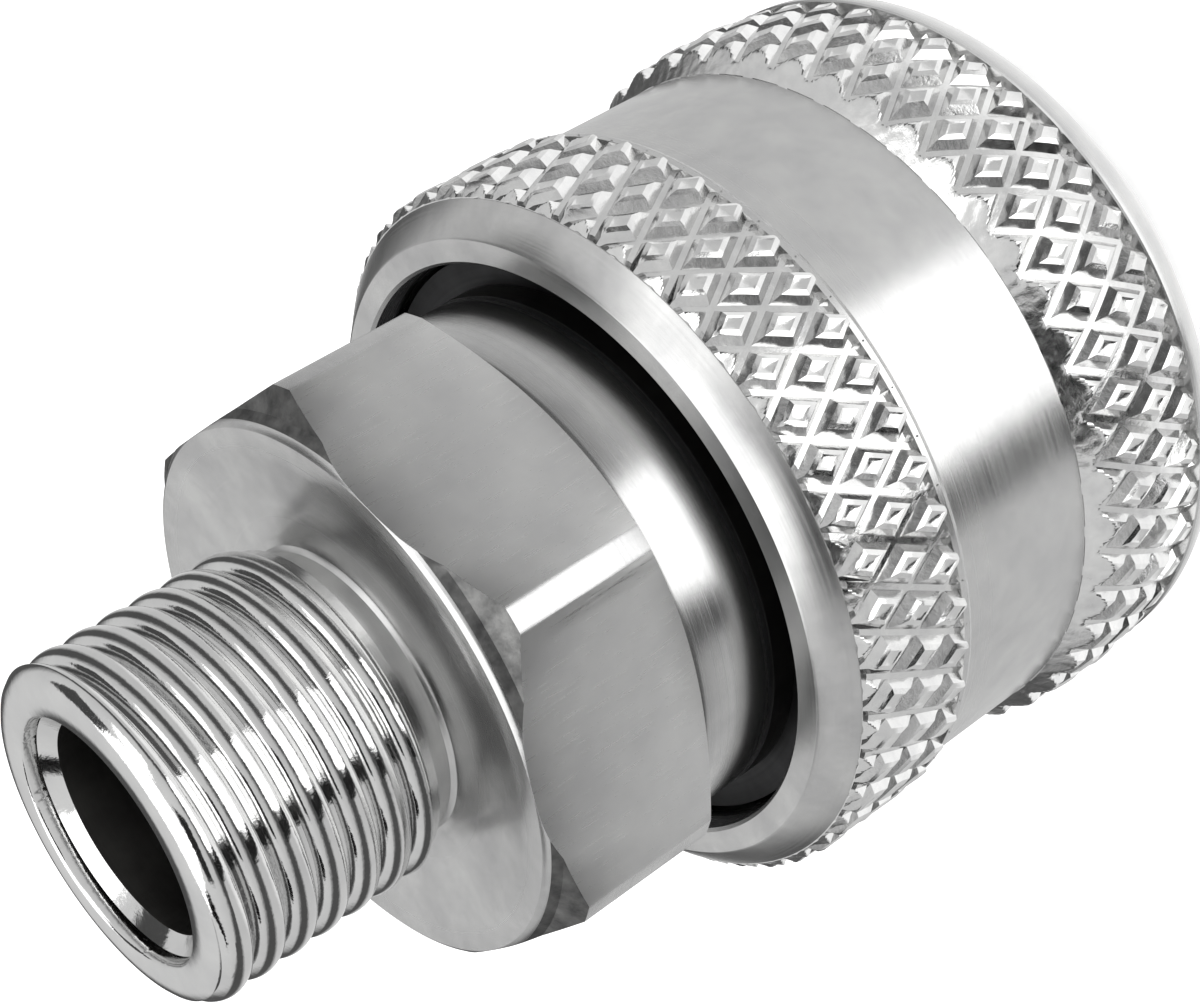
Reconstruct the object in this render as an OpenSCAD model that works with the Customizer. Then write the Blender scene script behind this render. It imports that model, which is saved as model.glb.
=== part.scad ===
// Liquid cooling quick coupling, socket half, with a G1/4 male end.
// Millimetres. The mouth face stands at z = 0 and the threaded tip points up.

/* [Threaded end] */
// Major diameter of the male pipe thread
thread_d = 13.157; // [9.7:0.001:20]
// Length of thread from the shoulder to the tip
thread_len = 10.2; // [8:0.1:14]
// Chamfer at the threaded tip
tip_chamfer = 0.7; // [0.3:0.1:1.2]
// Flow bore through the threaded end
flow_d = 8.4; // [5:0.1:9.5]
// Countersink diameter at the tip
tip_sink_d = 9.4; // [8.6:0.1:11]
// Depth of the countersink
tip_sink_depth = 1.05; // [0.5:0.05:2]
// Diameter of the relief groove beside the shoulder
relief_d = 11.2; // [9.6:0.1:12]
// Width of the relief groove
relief_w = 0.9; // [0.5:0.1:1.5]

/* [Hexagon] */
// Width across the flats
hex_af = 21; // [20.6:0.1:24]
// Turned diameter over the corners
hex_corner_d = 23.7; // [23:0.1:25]
// Height of the hexagon, from the collar to the shoulder
hex_h = 7.6; // [5:0.1:12]
// Diameter of the turned face on the thread side
face_d = 21.2; // [18:0.1:22]
// Drop from the turned face to the corner chamfer
face_step = 0.5; // [0.2:0.1:1]
// Width of the flat rim on the turned face
face_rim = 1; // [0.6:0.1:2]
// Depth of the shallow dish round the thread
dish_depth = 0.4; // [0:0.1:0.8]

/* [Socket body] */
// Bore that takes the plug
plug_bore_d = 15; // [14:0.1:15.6]
// How much wider the guide bore at the mouth is, on each side
guide_step = 0.3; // [0.2:0.1:0.5]
// Outside diameter of the body at the mouth
body_d = 19.2; // [18.8:0.1:19.6]
// Outside diameter of the collar behind the hexagon
collar_d = 20.8; // [20.4:0.1:21.4]
// Height of the body from the mouth face to the hexagon
body_h = 26.6; // [25.5:0.1:32]
// Depth of the spigot and stem base inside the body
spigot_depth = 5; // [4.4:0.1:6]
// Bore of the valve chamber
chamber_d = 16.8; // [16.2:0.1:17]
// Bore that takes the adapter spigot
spigot_d = 17.8; // [17.4:0.1:18]
// Lead-in chamfer at the mouth
lead_in = 0.5; // [0.2:0.1:0.8]

/* [Locking balls] */
// Number of balls
ball_count = 8; // [4:1:8]
// Ball diameter
ball_d = 3; // [2.4:0.1:3.1]
// Height of the ball centres above the mouth face
ball_z = 6.6; // [6.4:0.1:6.8]
// Distance of a ball centre outside the bore wall when locked
ball_out = 0.8; // [0.6:0.05:1]
// How far each ball moves out when released
ball_lift = 0.7; // [0.4:0.05:0.8]

/* [Release sleeve] */
// How far the sleeve is pulled back
sleeve_travel = 2.8; // [2:0.1:2.9]
// Gap between the sleeve nose and the standing plane
sleeve_lift = 0.4; // [0.2:0.1:0.6]
// Gap between the sleeve and the hexagon
sleeve_gap = 3.1; // [2.9:0.1:4]
// Height of the shoulder that the sleeve spring pushes
coil_low = 11; // [10.6:0.1:11.6]
// Diameter of the opening at the rear of the sleeve
opening_d = 23.6; // [23.4:0.1:24.2]
// Outer diameter of the rear face
rear_face_d = 25.7; // [25:0.1:26.4]
// Diameter over the rear knurl
rear_knurl_d = 28.8; // [28:0.1:29.6]
// Diameter of the smooth waist
waist_d = 27.9; // [27.2:0.1:28.2]
// Diameter over the front knurl
front_knurl_d = 29.8; // [29:0.1:30.6]
// Diameter of the plain nose band
nose_d = 29.6; // [28.8:0.1:30.4]
// Rounding of the nose
nose_round = 2; // [1:0.1:2.4]
// Height of the rear knurl with its chamfer
rear_knurl_h = 6; // [4.5:0.1:6.6]
// Lower edge of the front knurl
front_knurl_z = 4.6; // [3.8:0.1:5.4]
// Height of the front knurl
front_knurl_h = 5.6; // [4.5:0.1:6.2]
// Width of the plain rim under the rear knurl
rim_w = 0.3; // [0.2:0.05:0.6]
// How much the front knurl is crowned
crown = 0.3; // [0:0.05:0.5]

/* [Diamond knurl] */
// Number of grooves each way round the sleeve
knurl_count = 52; // [36:1:60]
// Depth of the grooves
knurl_depth = 0.7; // [0.3:0.05:0.8]
// Height of one diamond along the sleeve
diamond_h = 3; // [2:0.1:4]

/* [Springs] */
// Wire of the sleeve spring
sleeve_wire = 0.9; // [0.6:0.05:1]
// Turns of the sleeve spring
sleeve_turns = 4.5; // [3.5:0.5:5]
// Wire of the valve spring
valve_wire = 0.8; // [0.5:0.05:0.9]
// Turns of the valve spring
valve_turns = 3.5; // [2.5:0.5:4]

/* [Flat-face valve] */
// Height of the valve faces above the mouth face
valve_z = 8.8; // [8.6:0.1:9]
// Length of the valve sleeve below its flange
valve_len = 4.8; // [4.4:0.1:5]
// Length of the stem head
head_len = 2.4; // [2:0.1:2.8]
// How far the valve sleeve is pushed in
valve_travel = 3.4; // [2.5:0.1:3.6]
// Diameter of the fixed stem head
head_d = 9.9; // [9:0.1:10.4]
// Diameter of the stem rod
rod_d = 4; // [3:0.1:4.6]
// Number of flow holes in the stem base
port_count = 6; // [4:1:6]
// Diameter of each flow hole
port_d = 3; // [2.2:0.1:3.1]

/* [Seals and fits] */
// Radial running clearance of sliding parts
run = 0.05; // [0.03:0.01:0.08]
// Cord of the plug seal
plug_cord = 1.16; // [1:0.01:1.2]
// Cord of the stem seal
stem_cord = 1; // [0.8:0.01:1.05]
// Cord of the joint seal
joint_cord = 0.94; // [0.8:0.01:1]
// Thickness of the backup ring
backup_t = 0.6; // [0.4:0.05:0.7]
// Distance of the stem seal from the valve face
stem_seal_in = 1.3; // [1:0.1:1.6]
// Distance of the plug seal groove from the valve face
plug_seal_in = 1.1; // [0.9:0.1:1.5]
// Depth of the plug seal groove
plug_groove = 1.2; // [1.1:0.05:1.3]
// Distance of the joint seal below the hexagon
joint_in = 1.1; // [0.9:0.1:1.4]
// Thickness of the stop ring at the mouth
stop_t = 0.7; // [0.5:0.05:0.8]
// Thickness of the spring washer
washer_t = 0.7; // [0.5:0.05:1]
// Thickness of the snap ring over the washer
snap_t = 0.8; // [0.6:0.05:0.9]
// Distance of the snap ring below the hexagon
snap_in_z = 5.3; // [5:0.1:6]
// Thickness of the stem base and of the valve flange
base_t = 1.4; // [1:0.1:1.8]
flange_t = 1; // [0.8:0.1:1.2]

/* [Hidden] */
$fn = 96;
touch = 0.02;
coil_steps = 18;
wire_sides = 8;

total_h = body_h + hex_h + thread_len;
shoulder_z = body_h + hex_h;
thread_r = thread_d / 2;
flow_r = flow_d / 2;
hex_r = hex_corner_d / 2;
face_r = face_d / 2;
chamfer_slope = tan(30);

plug_r = plug_bore_d / 2;
body_r = body_d / 2;
collar_r = collar_d / 2;
chamber_r = chamber_d / 2;
spigot_r = spigot_d / 2;

ball_r = ball_d / 2;
ball_rest = plug_r + ball_out;
hole_r = ball_r + 0.03;
lip_t = 0.12;
lip_r = sqrt(pow(ball_r, 2) - pow(ball_out - lip_t, 2)) + 0.02;

guide_r = plug_r + guide_step;
guide_top = ball_z - hole_r - guide_step - 0.17;

ramp_slope = ball_lift / sleeve_travel;
ramp_angle = atan(ramp_slope);
ramp_r = ball_rest + ball_r / cos(ramp_angle) + touch;
land_r = body_r + run;
release_r = ramp_r + ball_lift;
release_z = ball_z - sleeve_travel;
land_z = ball_z + (ramp_r - land_r) / ramp_slope;

sleeve_top = body_h - sleeve_gap;
rear_knurl_z = sleeve_top - rear_knurl_h;
front_knurl_top = front_knurl_z + front_knurl_h;
step_z = coil_low + sleeve_travel + 0.4;
chamber_z = valve_z + valve_len;

stop_z = 1;
stop_top = stop_z + stop_t;
stop_in = body_r - 0.6;
stop_out = body_r + 0.85;
lip_z = stop_top + touch;
lip_top = lip_z + 0.65;

opening_r = opening_d / 2;
snap_z = body_h - snap_in_z;
washer_z = snap_z - washer_t - touch;
coil_top = washer_z;
snap_in = collar_r - 0.5;
ring_out = opening_r - 0.15;

ledge_z = body_h - spigot_depth;
base_top = ledge_z + base_t;
spigot_out = spigot_r - run;
groove_z = valve_z + plug_seal_in;
groove_r = plug_r + plug_groove;
groove_w = plug_cord + backup_t + 0.24;
head_r = head_d / 2;
shutter_in = head_r + 0.06;
shutter_out = plug_r - run;
flange_top = chamber_z + touch + flange_t;
head_top = valve_z + head_len;
stem_seal_z = valve_z + stem_seal_in;
joint_groove = spigot_out - joint_cord + 0.01;
joint_z = body_h - joint_in;

rear_crest = rear_knurl_d / 2;
front_crest = front_knurl_d / 2;
rear_root = rear_crest - knurl_depth;
front_root = front_crest - knurl_depth;
waist_r = waist_d / 2;
nose_r = nose_d / 2;
nose_z = sleeve_lift;
nose_in = stop_out + 0.25;
front_bevel_z = front_knurl_top - (front_crest - waist_r) + 0.3;
rear_top = sleeve_top - (rear_crest - rear_face_d / 2);

// Threaded tip, hexagon and spigot in one turned and milled piece
module adapter() {
    color("#c9cacc") difference() {
        union() {
            rotate_extrude() thread_profile();
            intersection() {
                rotate_extrude() hex_profile();
                translate([0, 0, body_h - 1])
                    rotate([0, 0, 30]) cylinder(h = hex_h + 3, d = hex_af / cos(30), $fn = 6);
            }
            rotate_extrude() spigot_profile();
        }
        rotate_extrude() flow_profile();
    }
}

module thread_profile() {
    polygon([
        [0, shoulder_z - 2], [relief_d / 2, shoulder_z - 2],
        [relief_d / 2, shoulder_z - dish_depth + relief_w],
        [thread_r, shoulder_z - dish_depth + relief_w + (thread_d - relief_d) / 2 * 0.6],
        [thread_r, total_h - tip_chamfer * 0.9], [thread_r - tip_chamfer, total_h], [0, total_h]]);
}

module hex_profile() {
    low = (hex_r - hex_af / 2) * chamfer_slope;
    high = (hex_r - face_r - 0.3) * chamfer_slope;
    polygon([
        [0, body_h], [hex_af / 2 - 0.1, body_h], [hex_r, body_h + low],
        [hex_r, shoulder_z - face_step - high], [face_r + 0.3, shoulder_z - face_step],
        [face_r, shoulder_z - 0.05], [face_r - 0.05, shoulder_z],
        [face_r - face_rim, shoulder_z],
        [relief_d / 2, shoulder_z - dish_depth], [0, shoulder_z - dish_depth]]);
}

module spigot_profile() {
    polygon([
        [0, base_top], [spigot_out - 0.3, base_top], [spigot_out, base_top + 0.3],
        [spigot_out, joint_z - joint_cord / 2 - 0.1], [joint_groove, joint_z - joint_cord / 2 - 0.1],
        [joint_groove, joint_z + joint_cord / 2 + 0.1], [spigot_out, joint_z + joint_cord / 2 + 0.1],
        [spigot_out, body_h], [spigot_out, body_h + 1], [0, body_h + 1]]);
}

module flow_profile() {
    cavity = joint_groove - 0.9;
    polygon([
        [0, base_top - 1], [cavity, base_top - 1], [cavity, body_h + 0.6],
        [flow_r, body_h + 0.6 + (cavity - flow_r)], [flow_r, total_h - tip_sink_depth],
        [tip_sink_d / 2, total_h], [tip_sink_d / 2, total_h + 1], [0, total_h + 1]]);
}

// Tube that carries the balls, the valve and both retaining rings
module socket_body() {
    color("#c2c3c5") difference() {
        rotate_extrude() body_profile();
        for (i = [0 : ball_count - 1])
            rotate([0, 0, i * 360 / ball_count]) translate([0, 0, ball_z]) rotate([0, 90, 0])
                rotate_extrude() ball_hole_profile();
    }
}

module body_profile() {
    polygon([
        [guide_r + lead_in, 0], [body_r - 0.3, 0], [body_r, 0.3],
        [body_r, stop_z - touch], [stop_in, stop_z - touch],
        [stop_in, stop_top + touch], [body_r, stop_top + touch],
        [body_r, step_z], [collar_r, step_z + 0.5],
        [collar_r, snap_z - touch], [snap_in, snap_z - touch],
        [snap_in, snap_z + snap_t + touch], [collar_r, snap_z + snap_t + touch],
        [collar_r, body_h - 0.15], [collar_r - 0.15, body_h],
        [spigot_r, body_h], [spigot_r, ledge_z], [chamber_r, ledge_z],
        [chamber_r, chamber_z], [plug_r, chamber_z],
        [plug_r, groove_z + groove_w], [groove_r, groove_z + groove_w],
        [groove_r, groove_z], [plug_r, groove_z],
        [plug_r, guide_top + guide_step], [guide_r, guide_top], [guide_r, lead_in]]);
}

// Drawn along the hole: wide outside, a narrow lip at the bore that holds the ball
module ball_hole_profile() {
    polygon([
        [0, plug_r - 1], [lip_r, plug_r - 1], [lip_r, plug_r + lip_t],
        [hole_r, plug_r + lip_t + 0.33], [hole_r, body_r + 1], [0, body_r + 1]]);
}

module one_ball(i) {
    color("#e3e4e6") rotate([0, 0, i * 360 / ball_count])
        translate([ball_rest, 0, ball_z]) sphere(r = ball_r);
}

module ball_1() { one_ball(0); }
module ball_2() { one_ball(1); }
module ball_3() { one_ball(2); }
module ball_4() { one_ball(3); }
module ball_5() { one_ball(4); }
module ball_6() { one_ball(5); }
module ball_7() { one_ball(6); }
module ball_8() { one_ball(7); }

// Knurled grip with the ball ramp inside: a straight taper, so the balls follow at one ratio
module release_sleeve() {
    color("#bfc0c2") union() {
        rotate_extrude() sleeve_profile();
        intersection() {
            knurl_ring(rear_knurl_z - 0.4, rear_root, 0, 5);
            rotate_extrude() rear_band_profile();
        }
        intersection() {
            knurl_ring(front_knurl_z - 0.4, front_root, crown, 5);
            rotate_extrude() front_band_profile();
        }
    }
}

module sleeve_profile() {
    rear_core = rear_root - 0.25;
    front_core = front_root - crown - 0.25;
    polygon(concat(
        [[nose_in, nose_z], [nose_r - nose_round, nose_z]],
        [for (a = [10 : 10 : 90])
            [nose_r - nose_round + nose_round * sin(a), nose_z + nose_round - nose_round * cos(a)]],
        [[nose_r, front_knurl_z], [front_core, front_knurl_z],
        [front_core, front_knurl_top], [waist_r - 0.3, front_knurl_top + 0.3],
        [waist_r, front_knurl_top + 0.3], [waist_r, rear_knurl_z - rim_w - 0.3],
        [waist_r + 0.1, rear_knurl_z - rim_w - 0.15], [rear_crest - 0.1, rear_knurl_z - rim_w],
        [rear_crest - 0.1, rear_knurl_z], [rear_core, rear_knurl_z],
        [rear_core, sleeve_top - (rear_core - rear_face_d / 2)],
        [rear_face_d / 2, sleeve_top], [opening_r + 0.1, sleeve_top], [opening_r, sleeve_top - 0.1],
        [opening_r, coil_low], [land_r, coil_low], [land_r, land_z],
        [release_r, release_z], [release_r, lip_top + 0.1], [land_r + 0.1, lip_top],
        [land_r + 0.1, lip_z], [nose_in, lip_z]]));
}

module rear_band_profile() {
    inside = rear_root - 0.5;
    polygon([
        [inside, rear_knurl_z - 0.1], [rear_crest + 0.5, rear_knurl_z - 0.1],
        [rear_crest + 0.5, rear_top - 0.5], [inside, rear_top + rear_crest - inside]]);
}

module front_band_profile() {
    inside = front_root - crown - 0.6;
    polygon([
        [inside, front_knurl_z - 0.1], [front_crest + 0.5, front_knurl_z - 0.1],
        [front_crest + 0.5, front_bevel_z - 0.5],
        [inside, front_bevel_z + front_crest - inside]]);
}

// Ring of four-sided points: crossings lie at the root, points stand one groove depth over it
module knurl_ring(z0, root, bow, rows) {
    cols = 2 * knurl_count;
    mid = rows / 2;
    inner = root - bow - 0.4;
    function fall(k) = bow * pow((k - mid * 0.8) / mid, 2);
    function rise(k, j) = ((k + j) % 2 == 0) ? 0 : knurl_depth;
    function spot(k, j) = let (a = j * 180 / knurl_count, r = root - fall(k) + rise(k, j))
        [r * cos(a), r * sin(a), z0 + k * diamond_h / 2];
    outer_pts = [for (k = [0 : rows]) for (j = [0 : cols - 1]) spot(k, j)];
    inner_pts = [for (k = [0, rows]) for (j = [0 : cols - 1])
        [inner * cos(j * 180 / knurl_count), inner * sin(j * 180 / knurl_count), z0 + k * diamond_h / 2]];
    base = (rows + 1) * cols;
    function at(k, j) = k * cols + j % cols;
    function low(j) = base + j % cols;
    function high(j) = base + cols + j % cols;
    outer_faces = [for (k = [0 : rows - 1]) for (j = [0 : cols - 1])
        each ((k + j) % 2 == 0)
            ? [[at(k, j), at(k + 1, j), at(k + 1, j + 1)], [at(k, j), at(k + 1, j + 1), at(k, j + 1)]]
            : [[at(k, j), at(k + 1, j), at(k, j + 1)], [at(k, j + 1), at(k + 1, j), at(k + 1, j + 1)]]];
    rim_faces = [for (j = [0 : cols - 1]) each [
        [low(j), low(j + 1), high(j + 1)], [low(j), high(j + 1), high(j)],
        [at(0, j), at(0, j + 1), low(j + 1)], [at(0, j), low(j + 1), low(j)],
        [at(rows, j + 1), at(rows, j), high(j)], [at(rows, j + 1), high(j), high(j + 1)]]];
    polyhedron(points = concat(outer_pts, inner_pts), faces = concat(outer_faces, rim_faces));
}

// Round wire wound in a right-hand helix, with half a level turn at each end
module coil(r, wire, low, high, turns) {
    steps = round(turns * coil_steps);
    climb = high - low - wire;
    function height(k) = low + wire / 2
        + climb * max(0, min(1, (k / coil_steps - 0.5) / (turns - 1)));
    function spot(k, j) = let (a = k * 360 / coil_steps, b = j * 360 / wire_sides,
        d = r + wire / 2 * cos(b)) [d * cos(a), d * sin(a), height(k) + wire / 2 * sin(b)];
    function at(k, j) = k * wire_sides + j % wire_sides;
    polyhedron(
        points = [for (k = [0 : steps]) for (j = [0 : wire_sides - 1]) spot(k, j)],
        faces = concat(
            [[for (j = [0 : wire_sides - 1]) at(0, j)]],
            [[for (j = [wire_sides - 1 : -1 : 0]) at(steps, j)]],
            [for (k = [0 : steps - 1]) for (j = [0 : wire_sides - 1]) each [
                [at(k, j), at(k + 1, j), at(k + 1, j + 1)],
                [at(k, j), at(k + 1, j + 1), at(k, j + 1)]]]));
}

module sleeve_spring() {
    mid_r = (collar_r + opening_r) / 2;
    color("#8d9094") coil(mid_r, sleeve_wire, coil_low + touch, coil_top - touch, sleeve_turns);
}

module valve_spring() {
    mid_r = chamber_r - valve_wire / 2 - 0.25;
    color("#8d9094") coil(mid_r, valve_wire, flange_top + touch, ledge_z - touch, valve_turns);
}

module spring_washer() {
    color("#a9abae") translate([0, 0, washer_z]) difference() {
        cylinder(h = washer_t, r = ring_out);
        translate([0, 0, -1]) cylinder(h = washer_t + 2, r = collar_r + run);
    }
}

module snap_ring() {
    color("#7b7e82") translate([0, 0, snap_z]) rotate([0, 0, 96]) rotate_extrude(angle = 348)
        translate([snap_in + touch, 0]) square([ring_out - snap_in - 0.1, snap_t]);
}

module stop_ring() {
    color("#7b7e82") translate([0, 0, stop_z]) rotate([0, 0, 96]) rotate_extrude(angle = 348)
        translate([stop_in + touch, 0]) square([stop_out - stop_in - touch, stop_t]);
}

// Fixed stem: flat head with a seal groove, rod, and a base with flow holes
module valve_stem() {
    floor_r = head_r - stem_cord + 0.04;
    color("#cccdcf") difference() {
        rotate_extrude() polygon([
            [0, valve_z], [head_r - 0.15, valve_z], [head_r, valve_z + 0.15],
            [head_r, stem_seal_z - stem_cord / 2 - 0.1], [floor_r, stem_seal_z - stem_cord / 2 - 0.1],
            [floor_r, stem_seal_z + stem_cord / 2 + 0.1], [head_r, stem_seal_z + stem_cord / 2 + 0.1],
            [head_r, head_top], [rod_d / 2, head_top + (head_r - rod_d / 2) * 0.7],
            [rod_d / 2, ledge_z - 0.8], [rod_d / 2 + 0.8, ledge_z + touch],
            [spigot_out, ledge_z + touch], [spigot_out, base_top - touch], [0, base_top - touch]]);
        for (i = [0 : port_count - 1])
            rotate([0, 0, i * 360 / port_count]) translate([rod_d / 2 + 1.7 + port_d / 2, 0, ledge_z - 1])
                cylinder(h = base_t + 2, d = port_d);
    }
}

module stem_seal() {
    color("#262626") translate([0, 0, stem_seal_z]) rotate_extrude()
        translate([head_r + 0.05 - stem_cord / 2, 0]) circle(d = stem_cord, $fn = 48);
}

module valve_sleeve() {
    low = valve_z + touch;
    color("#d0d1d3") rotate_extrude() polygon([
        [shutter_in + 0.1, low], [shutter_out - 0.15, low], [shutter_out, low + 0.15],
        [shutter_out, chamber_z + touch], [chamber_r - 0.1, chamber_z + touch],
        [chamber_r - 0.1, flange_top], [shutter_in + 1.3, flange_top],
        [shutter_in + 1.3, chamber_z - 0.3], [shutter_in, chamber_z - 1.6], [shutter_in, low + 0.1]]);
}

module plug_seal() {
    color("#262626") translate([0, 0, groove_z + 0.07 + plug_cord / 2]) rotate_extrude()
        translate([groove_r - 0.02 - plug_cord / 2, 0]) circle(d = plug_cord, $fn = 48);
}

module backup_ring() {
    color("#e6e3da") translate([0, 0, groove_z + groove_w - backup_t - 0.05]) rotate_extrude()
        translate([plug_r + 0.02, 0]) square([groove_r - plug_r - 0.04, backup_t]);
}

module joint_seal() {
    color("#262626") translate([0, 0, joint_z]) rotate_extrude()
        translate([spigot_r - 0.02 - joint_cord / 2, 0]) circle(d = joint_cord, $fn = 48);
}

adapter();
socket_body();
release_sleeve();
sleeve_spring();
spring_washer();
snap_ring();
stop_ring();
ball_1();
ball_2();
ball_3();
ball_4();
ball_5();
ball_6();
ball_7();
ball_8();
valve_stem();
stem_seal();
valve_sleeve();
valve_spring();
plug_seal();
backup_ring();
joint_seal();
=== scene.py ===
import math
import bpy
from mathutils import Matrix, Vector, noise


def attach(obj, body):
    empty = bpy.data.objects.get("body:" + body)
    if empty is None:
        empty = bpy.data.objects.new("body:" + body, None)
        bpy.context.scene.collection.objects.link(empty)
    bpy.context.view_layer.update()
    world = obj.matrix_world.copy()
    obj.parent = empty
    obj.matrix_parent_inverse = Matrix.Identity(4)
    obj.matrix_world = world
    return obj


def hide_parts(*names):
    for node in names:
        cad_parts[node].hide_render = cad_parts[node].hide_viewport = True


# Liquid cooling quick coupling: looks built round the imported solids, in metres.
# Lengths in the dictionaries are millimetres, angles are degrees.

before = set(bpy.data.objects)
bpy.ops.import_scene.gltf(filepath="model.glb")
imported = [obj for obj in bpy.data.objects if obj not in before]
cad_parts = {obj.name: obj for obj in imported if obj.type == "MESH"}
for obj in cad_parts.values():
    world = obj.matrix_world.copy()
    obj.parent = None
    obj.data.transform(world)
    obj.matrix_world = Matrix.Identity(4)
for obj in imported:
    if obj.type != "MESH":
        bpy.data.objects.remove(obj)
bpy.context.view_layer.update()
mm = 0.001


# small helpers

def clearSelection():
    if bpy.context.object and bpy.context.object.mode != "OBJECT":
        bpy.ops.object.mode_set(mode="OBJECT")
    bpy.ops.object.select_all(action="DESELECT")


def pickOnly(piece):
    clearSelection()
    piece.select_set(True)
    bpy.context.view_layer.objects.active = piece


def applyModifier(piece, kind, **settings):
    pickOnly(piece)
    changer = piece.modifiers.new("change", kind)
    for name, value in settings.items():
        setattr(changer, name, value)
    bpy.ops.object.modifier_apply(modifier=changer.name)


def selectFaces(piece, test):
    # leaves edit mode on, with just the faces that pass the test selected
    pickOnly(piece)
    bpy.ops.object.mode_set(mode="EDIT")
    bpy.ops.mesh.select_mode(type="FACE")
    bpy.ops.mesh.select_all(action="DESELECT")
    bpy.ops.object.mode_set(mode="OBJECT")
    for face in piece.data.polygons:
        face.select = test(face)
    bpy.ops.object.mode_set(mode="EDIT")


def turnRings(name, rings, sides=256, closed=True):
    # a circle is extruded and scaled from ring to ring along the turned outline
    clearSelection()
    firstR, firstZ = rings[0]
    bpy.ops.mesh.primitive_circle_add(vertices=sides, radius=firstR * mm, location=(0, 0, firstZ * mm))
    piece = bpy.context.active_object
    piece.name = name
    bpy.ops.object.transform_apply(location=True, rotation=False, scale=False)
    bpy.ops.object.mode_set(mode="EDIT")
    bpy.ops.mesh.select_all(action="SELECT")
    path = list(rings) + ([rings[0]] if closed else [])
    for (r0, z0), (r1, z1) in zip(path, path[1:]):
        bpy.ops.mesh.extrude_region_move(TRANSFORM_OT_translate={"value": (0, 0, (z1 - z0) * mm)})
        if r1 != r0:
            bpy.ops.transform.resize(value=(r1 / r0, r1 / r0, 1), center_override=(0, 0, z1 * mm))
    bpy.ops.mesh.select_all(action="SELECT")
    bpy.ops.mesh.remove_doubles(threshold=1e-6)
    bpy.ops.mesh.normals_make_consistent(inside=False)
    bpy.ops.object.mode_set(mode="OBJECT")
    return piece


def joinPieces(main, others):
    pickOnly(main)
    for other in others:
        other.select_set(True)
    bpy.context.view_layer.objects.active = main
    bpy.ops.object.join()
    return main


def smoothBy(piece, degrees):
    pickOnly(piece)
    bpy.ops.object.shade_smooth_by_angle(angle=math.radians(degrees))


def giveFinish(piece, materials, choose=None):
    # choose(middle, normal, radius, height) gives the number of the material, in millimetres
    piece.data.materials.clear()
    for material in materials:
        piece.data.materials.append(material)
    for face in piece.data.polygons:
        c = face.center
        face.material_index = choose(c / mm, face.normal, c.xy.length / mm, c.z / mm) if choose else 0


def dressPiece(piece, body, slot, *nodes):
    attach(piece, body)
    if nodes:
        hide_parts(*nodes)


# materials, each named for the metal or plastic and for how its surface was made, or for the shade or
# reflection painted into its colour

def hexColour(code):
    parts = [int(code[i:i + 2], 16) / 255 for i in (0, 2, 4)]
    return tuple(p / 12.92 if p <= 0.04045 else ((p + 0.055) / 1.055) ** 2.4 for p in parts) + (1.0,)


def addNode(tree, kind, settings=None, links=None):
    node = tree.nodes.new("ShaderNode" + kind)
    for name, value in (settings or {}).items():
        if isinstance(name, int) or name in node.inputs:
            node.inputs[name].default_value = value
        else:
            setattr(node, name, value)
    for name, source in (links or {}).items():
        tree.links.new(source, node.inputs[name])
    return node


def startMaterial(name):
    material = bpy.data.materials.new(name)
    material.use_nodes = True
    material.node_tree.nodes.clear()
    return material, material.node_tree


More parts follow.
